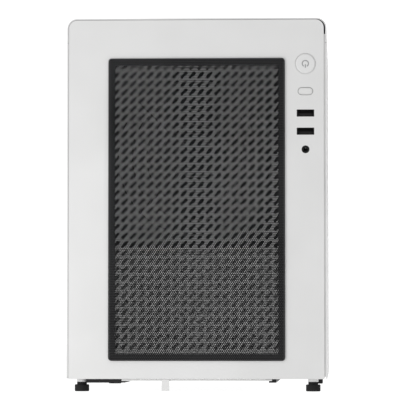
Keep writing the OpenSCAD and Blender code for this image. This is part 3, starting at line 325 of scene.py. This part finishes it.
# %% [markdown]
# The power mark on the button is pressed into it and filled with grey. The groove is already in the
# button's shape, so the finish only has to turn grey wherever the surface lies below the face and close
# to the button's axis. Two comparisons on the object's own coordinates do that.
# %% Power button finish
def button_finish():
    made = Finish("button_white")
    split = made.add("ShaderNodeSeparateXYZ")
    made.link(made.place, split.inputs["Vector"])
    centre_x = (button_low.x + button_high.x) / 2
    centre_z = (button_low.z + button_high.z) / 2

    def math_node(operation, a, b):
        node = made.add("ShaderNodeMath", operation=operation)
        for socket, value in zip(node.inputs, (a, b)):
            if isinstance(value, float):
                socket.default_value = value
            else:
                made.link(value, socket)
        return node.outputs["Value"]

    dx = math_node("SUBTRACT", split.outputs["X"], centre_x)
    dz = math_node("SUBTRACT", split.outputs["Z"], centre_z)
    squares = math_node("ADD", math_node("MULTIPLY", dx, dx), math_node("MULTIPLY", dz, dz))
    radius = math_node("SQRT", squares, 0.0)
    near = math_node("LESS_THAN", radius, 3.9 * MM)
    sunk = math_node("GREATER_THAN", split.outputs["Y"], button_low.y + 0.12 * MM)
    mask = math_node("MULTIPLY", near, sunk)
    mix = made.add("ShaderNodeMix", data_type="RGBA")
    made.link(mask, mix.inputs["Factor"])
    made.link(made.ramp(made.noise(30), (0.655, 0.655, 0.652), (0.69, 0.69, 0.688)), mix.inputs["A"])
    mix.inputs["B"].default_value = (0.34, 0.342, 0.345, 1)
    made.link(mix.outputs["Result"], made.shader.inputs["Base Color"])
    made.link(made.remap(made.noise(160), 0.32, 0.44), made.shader.inputs["Roughness"])
    made.bump(made.noise(1700), 0.06, 0.0002)
    return made.material


button_white = button_finish()

# %% [markdown]
# Each part of the frame now takes its finish. The list names only the parts that aren't black plastic;
# whatever it leaves out keeps the black one.
# %% Give every part its finish
FINISHES = {
    powder_white: ["front_panel", "top_cover", "left_side_panel", "right_side_panel", "bottom_panel",
                   "rear_panel", "top_rails", "motherboard_tray", "slot_covers", "front_io_bracket",
                   "psu_bracket"],
    plastic_white: ["bottom_filter_frame", "usb_c_plug"],
    button_white: ["power_button"],
    rubber_black: ["foot_front_left", "foot_front_right", "foot_rear_left", "foot_rear_right"],
    magnet_strip: ["front_filter_frame"],
    net_thread: ["front_filter_net", "bottom_filter_net"],
    board_black: ["motherboard", "gpu_board"],
    board_green: ["front_io_board", "m2_ssd"],
    steel_bare: ["usb_c_port", "io_shield", "cpu_socket", "thumbscrews", "rear_io_ports"],
    aluminium: ["vrm_heatsink", "chipset_heatsink", "cooler_fins", "gpu_heatsink"],
    copper: ["cooler_base"],
    brass: ["motherboard_standoffs"],
    chrome: ["psu_fan_grille"],
    steel_black: ["psu_case"],
}
finish_of = {name: material for material, names in FINISHES.items() for name in names}
for name, node in nodes.items():
    node.data.materials.clear()
    node.data.materials.append(finish_of.get(name, plastic_black))
print("finished", len(nodes), "parts,", len(finish_of), "of them by name")

# %% [markdown]
# The dust net is a fine mesh with round holes in staggered rows. A picture of holes on a flat sheet would
# go grey at a distance, so the holes are real: the sheet is cut into hexagons, and each hexagon keeps only
# the ring between its own edge and a smaller hexagonal hole. Neighbours share their corners, so the whole
# net is one connected surface. The rows run to just inside the border's outline.
# %% Net maker
HEX = [(math.cos(math.radians(60 * k + 30)), math.sin(math.radians(60 * k + 30))) for k in range(6)]


def net_mesh(name, low, high, pitch, hole, place):
    """A hexagonal net over the rectangle low..high; place turns its two coordinates into a point."""
    row_step = pitch * math.sqrt(3) / 2
    corner = pitch / math.sqrt(3)
    shared, points, faces = {}, [], []

    def outer_point(u, v):
        key = (round(u / pitch * 64), round(v / pitch * 64))
        if key not in shared:
            shared[key] = len(points)
            points.append(place(u, v))
        return shared[key]

    rows = int((high[1] - low[1] - 2 * corner) / row_step) + 1
    start_v = (low[1] + high[1] - (rows - 1) * row_step) / 2
    for row in range(rows):
        shift = pitch / 2 * (row % 2)
        columns = int((high[0] - low[0] - pitch - shift) / pitch) + 1
        start_u = (low[0] + high[0]) / 2 - (int((high[0] - low[0] - pitch) / pitch)) * pitch / 2 - pitch / 4
        for column in range(columns):
            u, v = start_u + shift + column * pitch, start_v + row * row_step
            if u - pitch / 2 < low[0] or u + pitch / 2 > high[0]:
                continue
            ring = [outer_point(u + corner * c, v + corner * s) for c, s in HEX]
            first = len(points)
            points.extend(place(u + hole * c, v + hole * s) for c, s in HEX)
            for k in range(6):
                n = (k + 1) % 6
                faces.append((ring[k], ring[n], first + n, first + k))
    mesh = bpy.data.meshes.new(name)
    mesh.from_pydata(points, [], faces)
    mesh.update()
    return mesh


def new_piece(name, mesh, material, body, replaces=()):
    """Links a mesh as a piece that rides on a body, and hides what it stands for."""
    if material:
        mesh.materials.append(material)
    piece = bpy.data.objects.new(name, mesh)
    scene.collection.objects.link(piece)
    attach(piece, body)
    if replaces:
        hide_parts(*replaces)
    return piece


# %% [markdown]
# The front net covers the whole magnetic border, which shows through its holes as a fine dot pattern.
# Its threads are about a third of the pitch, so light has to pass the net twice to come back from the
# white sheet behind, and the net looks nearly black.
# %% Front net
NET_PITCH = 1.67 * MM
NET_HOLE = 0.57 * MM
NET_INSET = 0.35 * MM
NET_SQUASH = 0.955

net_y = (filter_low.y + filter_high.y) / 2
front_net = new_piece(
    "front_net",
    net_mesh("front_net", (filter_low.x + NET_INSET, (filter_low.z + NET_INSET) / NET_SQUASH),
             (filter_high.x - NET_INSET, (filter_high.z - NET_INSET) / NET_SQUASH), NET_PITCH, NET_HOLE,
             lambda u, v: (u, net_y, v * NET_SQUASH)),
    net_thread, "front_filter", ["front_filter_net"])
print("front net has", len(front_net.data.polygons) // 6, "holes")

# %% [markdown]
# The slide-out tray under the case holds the same kind of net, a little coarser, in two panes.
# %% Bottom net
tray_low, tray_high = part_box("bottom_filter_net")
pane_z = (tray_low.z + tray_high.z) / 2
bottom_net = new_piece(
    "bottom_net",
    net_mesh("bottom_net", (tray_low.x, tray_low.y), (tray_high.x, tray_high.y), 2.4 * MM, 0.9 * MM,
             lambda u, v: (u, v, pane_z)),
    net_thread, "bottom_filter", ["bottom_filter_net"])
print("bottom net has", len(bottom_net.data.polygons) // 6, "holes")

# %% [markdown]
# A fan blade is a twisted, cambered sheet, steep at the hub and flat at the tip. The frame's rotors hold
# the right space with flat blades, so each one is swapped for a finer rotor of the same size. A blade is
# a grid of points: the radius runs one way, the chord the other, and the chord is turned back as it goes
# out, which gives the swept look. The grid is then thickened into a solid.
# %% Rotor maker
def rotor_mesh(name, radius, depth, blades, hub_share, sweep):
    hub = radius * hub_share
    shape = bmesh.new()
    for blade in range(blades):
        base = 2 * math.pi * blade / blades
        grid = []
        for i in range(9):
            out = i / 8
            r = hub * 0.97 + (radius - hub * 0.97) * out
            chord = 2 * math.pi / blades * (0.98 - 0.16 * out)
            height = depth * (0.86 - 0.34 * out)
            row = []
            for j in range(9):
                t = j / 8 - 0.5
                angle = base + sweep * out * out + t * chord
                z = depth / 2 + t * height + depth * 0.16 * (0.25 - t * t)
                row.append(shape.verts.new((r * math.cos(angle), r * math.sin(angle), z)))
            grid.append(row)
        for i in range(8):
            for j in range(8):
                shape.faces.new((grid[i][j], grid[i + 1][j], grid[i + 1][j + 1], grid[i][j + 1]))
    bmesh.ops.solidify(shape, geom=shape.faces[:], thickness=1.1 * MM)
    edge = 1.6 * MM
    profile = [(0.0, depth), (hub * 0.55, depth), (hub - edge, depth - 0.3 * MM),
               (hub - 0.3 * edge, depth - 0.5 * edge), (hub, depth - 1.3 * edge), (hub, 0.4 * MM),
               (hub - 0.4 * MM, 0.0), (hub - 2 * MM, 0.0), (hub - 2 * MM, depth * 0.5),
               (0.0, depth * 0.5)]
    turned = []
    steps = 48
    for r, z in profile:
        angles = [2 * math.pi * k / steps for k in range(steps)]
        turned.append([shape.verts.new((r * math.cos(a), r * math.sin(a), z)) for a in angles])
    for a, b in zip(turned, turned[1:]):
        for k in range(steps):
            n = (k + 1) % steps
            shape.faces.new((a[k], b[k], b[n], a[n]))
    bmesh.ops.remove_doubles(shape, verts=shape.verts[:], dist=0.01 * MM)
    for vert in shape.verts:
        reach = math.hypot(vert.co.x, vert.co.y)
        if reach > radius:
            vert.co.x, vert.co.y = vert.co.x * radius / reach, vert.co.y * radius / reach
        vert.co.z = min(max(vert.co.z, 0.0), depth)
    bmesh.ops.recalc_face_normals(shape, faces=shape.faces[:])
    mesh = bpy.data.meshes.new(name)
    shape.to_mesh(mesh)
    shape.free()
    for face in mesh.polygons:
        face.use_smooth = True
    mesh.set_sharp_from_angle(angle=math.radians(40))
    return mesh


def fit_rotor(node, body, facing, blades, hub_share=0.36, sweep=-0.55):
    """Swaps a rotor in the frame for a finer one of the same box; facing is the way its hub's face looks."""
    low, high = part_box(node)
    size = high - low
    axis = 1 if abs(facing.y) > 0.5 else 2
    radius = (size.x / 2) - 0.2 * MM
    mesh = rotor_mesh(node + "_blades", radius, size[axis], blades, hub_share, sweep)
    start = (low + high) / 2 - facing * (size[axis] / 2)
    mesh.transform(Matrix.Translation(start) @ facing.to_track_quat("Z", "Y").to_matrix().to_4x4())
    return new_piece(node + "_blades", mesh, blade_grey, body, [node])


# %% [markdown]
# Five fans take the same rotor with different numbers of blades. The case fans and the power supply's fan
# face the front, and the graphics card's two fans face the floor.
# %% Fan rotors
TO_FRONT = Vector((0, -1, 0))
TO_FLOOR = Vector((0, 0, -1))
fit_rotor("psu_fan_rotor", "psu_fan", TO_FRONT, 7)
fit_rotor("cooler_fan_rotor", "cooler_fan", TO_FRONT, 9)
fit_rotor("rear_fan_rotor", "rear_fan", TO_FRONT, 9)
fit_rotor("gpu_fan_front", "gpu_fan_front", TO_FLOOR, 11, 0.34, -0.4)
fit_rotor("gpu_fan_rear", "gpu_fan_rear", TO_FLOOR, 11, 0.34, -0.4)
print("rotors done")

# %% [markdown]
# The power supply's grille is bent from round wire: rings spot-welded to four spokes. The frame holds it
# as a flat stamping of the same size. Here each ring and spoke becomes a swept round tube.
# %% Wire grille
def tube_mesh(shape, path, radius, sides=8, closed=False):
    """Adds a round tube along the points of path to a bmesh."""
    count = len(path)
    side = None
    rings = []
    for i, point in enumerate(path):
        after = path[(i + 1) % count] if closed else path[min(i + 1, count - 1)]
        before = path[i - 1] if closed or i else path[0]
        ahead = (after - before).normalized()
        if side is None:
            side = ahead.orthogonal().normalized()
        side = (side - ahead * side.dot(ahead)).normalized()
        up = ahead.cross(side)
        rings.append([shape.verts.new(point + (side * math.cos(a) + up * math.sin(a)) * radius)
                      for a in (2 * math.pi * k / sides for k in range(sides))])
    pairs = list(zip(rings, rings[1:])) + ([(rings[-1], rings[0])] if closed else [])
    for a, b in pairs:
        for k in range(sides):
            n = (k + 1) % sides
            shape.faces.new((a[k], a[n], b[n], b[k]))
    if not closed:
        shape.faces.new(rings[0][::-1])
        shape.faces.new(rings[-1])


def finish_mesh(name, shape, smooth=True, angle=40):
    mesh = bpy.data.meshes.new(name)
    bmesh.ops.recalc_face_normals(shape, faces=shape.faces[:])
    shape.to_mesh(mesh)
    shape.free()
    if smooth:
        for face in mesh.polygons:
            face.use_smooth = True
        mesh.set_sharp_from_angle(angle=math.radians(angle))
    return mesh


WIRE = 0.9 * MM
RING_STEP = 12 * MM
RING_START = 4 * MM
grille_low, grille_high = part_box("psu_fan_grille")
grille_centre = (grille_low + grille_high) / 2
grille = bmesh.new()
for ring in range(1, 6):
    r = RING_START + ring * RING_STEP
    circle = [grille_centre + Vector((r * math.cos(a), 0, r * math.sin(a)))
              for a in (2 * math.pi * k / 72 for k in range(72))]
    tube_mesh(grille, circle, WIRE, closed=True)
for spoke in range(4):
    a = math.radians(45 + 90 * spoke)
    outward = Vector((math.cos(a), 0, math.sin(a)))
    ends = [grille_centre + outward * r for r in (16 * MM, 40 * MM, 67 * MM)]
    tube_mesh(grille, ends, WIRE * 0.95)
new_piece("grille_wires", finish_mesh("grille_wires", grille), chrome, "chassis",
          ["psu_fan_grille"])

# %% [markdown]
# The leads inside the case are bundles of thin insulated wires that end in moulded connectors. Each one
# follows the route of its plain tube in the frame. Its wires lie on one or two rings about the route and
# turn slowly along it, as twisted wires do, and cable ties hold them together.
# %% Routes and bundles
def smooth_path(points, steps=6):
    """Points in millimetres, joined by a smooth curve, as vectors in metres."""
    knots = [Vector(p) * MM for p in points]
    path = []
    for i in range(len(knots) - 1):
        a, b, c, d = knots[max(i - 1, 0)], knots[i], knots[i + 1], knots[min(i + 2, len(knots) - 1)]
        for k in range(steps):
            t = k / steps
            path.append(0.5 * (2 * b + (c - a) * t + (2 * a - 5 * b + 4 * c - d) * t * t
                               + (3 * b - a - 3 * c + d) * t * t * t))
    path.append(knots[-1])
    return path


def path_axes(path):
    """A side and an up direction at each point, which don't twist about the path."""
    side = (path[1] - path[0]).orthogonal().normalized()
    axes = []
    for i in range(len(path)):
        ahead = (path[min(i + 1, len(path) - 1)] - path[max(i - 1, 0)]).normalized()
        side = (side - ahead * side.dot(ahead)).normalized()
        axes.append((side, ahead.cross(side)))
    return axes


def bundle_mesh(name, path, diameter, wire, twist=2.5):
    shape = bmesh.new()
    axes = path_axes(path)
    layers = [(diameter - wire) / 2 * share for share in ((1.0, 0.48) if diameter > 3.5 * wire else (1.0,))]
    for reach in layers:
        count = max(3, int(math.pi * 2 * reach / wire))
        for strand in range(count):
            line = []
            for i, (point, (side, up)) in enumerate(zip(path, axes)):
                angle = 2 * math.pi * (strand / count + twist * i / len(path))
                line.append(point + (side * math.cos(angle) + up * math.sin(angle)) * reach)
            tube_mesh(shape, line, wire / 2, sides=6)
    for i in range(8, len(path) - 6, 14):
        along = (path[i + 1] - path[i]).normalized()
        tube_mesh(shape, [path[i], path[i] + along * 2.4 * MM], diameter / 2, sides=16)
    return finish_mesh(name, shape)


def add_block(shape, low, high, chamfer, segments=2):
    """Adds a box with softened edges to a bmesh."""
    low, high = Vector(low), Vector(high)
    place = Matrix.Translation((low + high) / 2) @ Matrix.Diagonal((*(high - low), 1))
    verts = bmesh.ops.create_cube(shape, size=1.0, matrix=place)["verts"]
    edges = list({edge for vert in verts for edge in vert.link_edges})
    bmesh.ops.bevel(shape, geom=edges, offset=chamfer, segments=segments, profile=0.6, affect="EDGES")


def plug_mesh(name, low, high, axis, cells, grip):
    """A moulded connector: a body, a row of cell mouths along axis, and a latch on the side grip."""
    shape = bmesh.new()
    low, high = Vector(low), Vector(high)
    add_block(shape, low, high, 0.5 * MM)
    step = (high[axis] - low[axis]) / cells
    for k in range(cells):
        a, b = low.copy(), high.copy()
        a[axis] = low[axis] + step * k + 0.35 * MM
        b[axis] = low[axis] + step * (k + 1) - 0.35 * MM
        a[0] -= 1.2 * MM
        b[0] = low[0] + 1.0 * MM
        add_block(shape, a, b, 0.25 * MM, 1)
    middle = (low + high) / 2
    a, b = middle.copy(), middle.copy()
    a[axis] -= 3 * MM
    b[axis] += 3 * MM
    a[0], b[0] = low[0] + 3 * MM, high[0] - 1 * MM
    a[grip], b[grip] = low[grip] - 1.6 * MM, low[grip] + 0.2 * MM
    add_block(shape, a, b, 0.4 * MM)
    return finish_mesh(name, shape, smooth=False)


# %% [markdown]
# Each route below repeats the points of the frame's lead, in millimetres.
# %% Leads
wire_black = grained("wire_black", (0.012, 0.012, 0.013), (0.022, 0.022, 0.024), (0.36, 0.48), 900, 0.08)
nylon_black = grained("nylon_black", (0.010, 0.010, 0.011), (0.018, 0.018, 0.020),
                      (0.42, 0.58), 700, 0.12)
LEADS = {
    "atx_power_cable": (11, 1.9, [(66, -114.2, 216.3), (75, -114, 216), (79.5, -104, 214), (76, -90, 209),
                                  (62, -82, 203), (44, -77, 197), (32, -67, 191), (33, -56, 188),
                                  (42, -53.8, 187.3), (52, -53.8, 187.3)]),
    "cpu_power_cable": (7, 1.8, [(66, -114.2, 242.3), (76, -114, 243), (81, -100, 252), (82, -60, 276),
                                 (82, 20, 279), (79, 100, 279), (64, 130, 278), (46, 134, 273),
                                 (38, 133.3, 264), (42, 133.3, 258), (54, 133.3, 257.3)]),
    "front_io_cable": (4.6, 1.3, [(89.9, -178.2, 222), (90, -166, 221), (94, -138, 196), (97.5, -108, 140),
                                  (97, -84, 88), (86, -76.8, 68), (68, -66, 48), (54, -46, 33), (53, -34, 28),
                                  (62, -29.8, 27.3)]),
    "gpu_power_cable": (7, 1.8, [(66, -114.2, 146.3), (76, -114, 145), (80, -107, 130), (68, -92, 110),
                                 (36, -80, 103), (-14, -73, 103), (-46, -66, 103), (-60, -50, 101),
                                 (-62, -28, 98.5), (-56, -18, 97.4), (-45, -17.2, 97.3)]),
    "ac_extension_cable": (7, 2.3, [(-84, -146, 148), (-84, -146, 136), (-86, -144, 112), (-94, -132, 66),
                                    (-97, -96, 36), (-97, -20, 27), (-97, 70, 27), (-94, 122, 38),
                                    (-80, 146, 51), (-77.1, 161.7, 52.3)]),
}
for node, (thick, wire, points) in LEADS.items():
    path = smooth_path(points)
    if node == "ac_extension_cable":
        sleeve = bmesh.new()
        tube_mesh(sleeve, path, thick / 2 * MM, sides=20)
        mesh = finish_mesh(node + "_wires", sleeve)
    else:
        mesh = bundle_mesh(node + "_wires", path, thick * MM, wire * MM)
    lead = new_piece(node + "_wires", mesh, wire_black, "chassis", [node])

# %% [markdown]
# The connectors sit where the frame's plain plugs are, and each has its row of cells and its latch. The
# mains lead's plug turns a right angle into the power supply, with ribs where fingers hold it.
# %% Connectors
AXIS_Y, AXIS_Z = 1, 2
plugs = {
    "atx_plug": ((49.9, -57.75, 162.3), (67.9, -49.75, 212.3), AXIS_Z, 12, AXIS_Y),
    "cpu_plug": ((52.9, 124.25, 253.3), (67.9, 142.25, 261.3), AXIS_Y, 4, AXIS_Z),
    "gpu_plug": ((-45.1, -26.2, 92.8), (-30.1, -8.2, 100.8), AXIS_Y, 4, AXIS_Z),
    "io_plug": ((60.9, -39.75, 24.8), (71.9, -19.75, 29.8), AXIS_Y, 10, AXIS_Z),
}
for name, (low, high, along, cells, latch) in plugs.items():
    mesh = plug_mesh(name, Vector(low) * MM, Vector(high) * MM, along, cells, latch)
    new_piece(name, mesh, nylon_black, "chassis")
mains_plug = bmesh.new()
add_block(mains_plug, Vector((-91.6, -158.8, 147.2)) * MM, Vector((-72.5, -133.6, 165.4)) * MM, 2.4 * MM, 3)
for rib in range(4):
    low = Vector((-92, -159.2, 149.5 + 3.6 * rib)) * MM
    high = Vector((-82, -133.3, 151.3 + 3.6 * rib)) * MM
    add_block(mains_plug, low, high, 0.6 * MM)
new_piece("mains_plug", finish_mesh("mains_plug", mains_plug), nylon_black, "chassis")

# %% [markdown]
# A main board is crowded with small parts. The frame holds the large ones, and the small ones are set
# here on a jittered grid over the free parts of the board: chips, tall capacitors, chokes and rows of
# tiny parts. The jitter is seeded, so every run gives the same board.
# %% Free places on the board
def on_board_spots(pitch, margin, seed):
    """Jittered grid points in the board's plane that keep clear of everything mounted on it."""
    board_low, board_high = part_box("motherboard")
    blocked = []
    for node in ("cpu_socket", "cooler_base", "ram_slots", "board_sockets", "vrm_heatsink",
                 "chipset_heatsink", "m2_ssd", "rear_io_ports", "gpu_board"):
        blocked.append(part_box(node))
    pick = random.Random(seed)
    spots = []
    rows = int((board_high.z - board_low.z - 2 * margin) / pitch)
    columns = int((board_high.y - board_low.y - 2 * margin) / pitch)
    for row in range(rows):
        for column in range(columns):
            y = board_low.y + margin + (column + 0.5 + pick.uniform(-0.15, 0.15)) * pitch
            z = board_low.z + margin + (row + 0.5 + pick.uniform(-0.15, 0.15)) * pitch
            clear = all(y < a.y - margin or y > b.y + margin or z < a.z - margin or z > b.z + margin
                        for a, b in blocked)
            if clear:
                spots.append((y, z, pick.random()))
    return board_low.x, spots


def add_turned(shape, base, axis, profile, steps=20):
    """Turns a list of (radius, height) pairs about axis from the point base."""
    side = axis.orthogonal().normalized()
    up = axis.cross(side)
    rings = []
    for r, h in profile:
        rings.append([shape.verts.new(base + axis * h + (side * math.cos(a) + up * math.sin(a)) * r)
                      for a in (2 * math.pi * k / steps for k in range(steps))])
    for a, b in zip(rings, rings[1:]):
        for k in range(steps):
            n = (k + 1) % steps
            shape.faces.new((a[k], a[n], b[n], b[k]))
    shape.faces.new(rings[0][::-1])
    shape.faces.new(rings[-1])


# %% [markdown]
# The parts are sorted by kind, so that each kind is one mesh with one finish.
# %% Small parts of the board
board_face, spots = on_board_spots(9 * MM, 4 * MM, 7)
OUTWARD = Vector((-1, 0, 0))
chips, cans, chokes, pads = bmesh.new(), bmesh.new(), bmesh.new(), bmesh.new()
for y, z, kind in spots:
    if kind < 0.22:
        add_block(chips, (board_face - 1.2 * MM, y - 2.6 * MM, z - 2.6 * MM),
                  (board_face, y + 2.6 * MM, z + 2.6 * MM), 0.15 * MM, 1)
        for k in range(-3, 4):
            for s in (-1, 1):
                leg_y, leg_z = y + k * 0.7 * MM, z + s * 3.0 * MM
                add_block(pads, (board_face - 0.3 * MM, leg_y - 0.15 * MM, leg_z - 0.4 * MM),
                          (board_face, leg_y + 0.15 * MM, leg_z + 0.4 * MM), 0.05 * MM, 1)
    elif kind < 0.42:
        add_turned(cans, Vector((board_face, y, z)), OUTWARD,
                   [(2.9 * MM, 0), (2.9 * MM, 7.4 * MM), (2.5 * MM, 7.9 * MM), (2.3 * MM, 7.7 * MM)])
    elif kind < 0.5:
        add_block(chokes, (board_face - 5 * MM, y - 3.4 * MM, z - 3.4 * MM),
                  (board_face, y + 3.4 * MM, z + 3.4 * MM), 0.6 * MM)
    elif kind < 0.9:
        for k in range(-1, 2):
            add_block(pads, (board_face - 0.5 * MM, y + k * 2.2 * MM - 0.5 * MM, z - 0.9 * MM),
                      (board_face, y + k * 2.2 * MM + 0.5 * MM, z + 0.9 * MM), 0.1 * MM, 1)
new_piece("board_chips", finish_mesh("board_chips", chips, False), nylon_black, "chassis")
new_piece("board_capacitors", finish_mesh("board_capacitors", cans), aluminium, "chassis")
new_piece("board_chokes", finish_mesh("board_chokes", chokes, False), blade_grey, "chassis")
new_piece("board_small_parts", finish_mesh("board_small_parts", pads, False), brass, "chassis")
print(len(spots), "small parts on the board")


# %% [markdown]
# Three narrow gaps at the front would look too deep and black. The side panels have a folded lip behind
# the gap to the front sheet, the button has a step below its face that nearly fills its hole, and the
# audio jack shows the bright tip of its contact spring.
# %% Lips behind the front gaps
SKIN = 1.2 * MM
LIP_DEPTH = 0.95 * MM
LIP_CLEAR = 0.05 * MM
LIP_ENDS = {"left": (front_low.x, cad_low.x + SKIN), "right": (front_high.x, cad_high.x - SKIN)}
for side, (sheet_x, inner_x) in LIP_ENDS.items():
    lip = bmesh.new()
    near, far = sorted((sheet_x, inner_x - math.copysign(LIP_CLEAR, inner_x)))
    add_block(lip, (near, front_low.y + LIP_DEPTH, front_low.z + 2 * MM),
              (far, front_low.y + 3 * LIP_DEPTH, front_high.z - 12 * MM), 0.02 * MM, 1)
    name = "front_lip_" + side
    new_piece(name, finish_mesh(name, lip, False), powder_white, "chassis")

BUTTON_FACE_R = 7.9 * MM
BUTTON_STEP_R = 8.45 * MM
button_mid = (button_low + button_high) / 2
step_face = button_low.y + 0.75 * MM
ring = bmesh.new()
add_turned(ring, Vector((button_mid.x, step_face + 1.6 * MM, button_mid.z)), Vector((0, -1, 0)),
           [(BUTTON_FACE_R - 0.2 * MM, 0), (BUTTON_STEP_R, 0), (BUTTON_STEP_R, 1.5 * MM),
            (BUTTON_STEP_R - 0.1 * MM, 1.6 * MM), (BUTTON_FACE_R - 0.2 * MM, 1.6 * MM)], 64)
new_piece("button_step", finish_mesh("button_step", ring), plastic_white, "power_button")

jack_low, jack_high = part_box("audio_jack")
tip = bmesh.new()
jack_mid = (jack_low + jack_high) / 2
tip_at = Vector((jack_mid.x, front_low.y + 2.2 * MM, jack_mid.z + 1.4 * MM))
bmesh.ops.create_uvsphere(tip, u_segments=12, v_segments=8, radius=0.55 * MM,
                          matrix=Matrix.Translation(tip_at))
new_piece("jack_contact", finish_mesh("jack_contact", tip), chrome, "chassis")
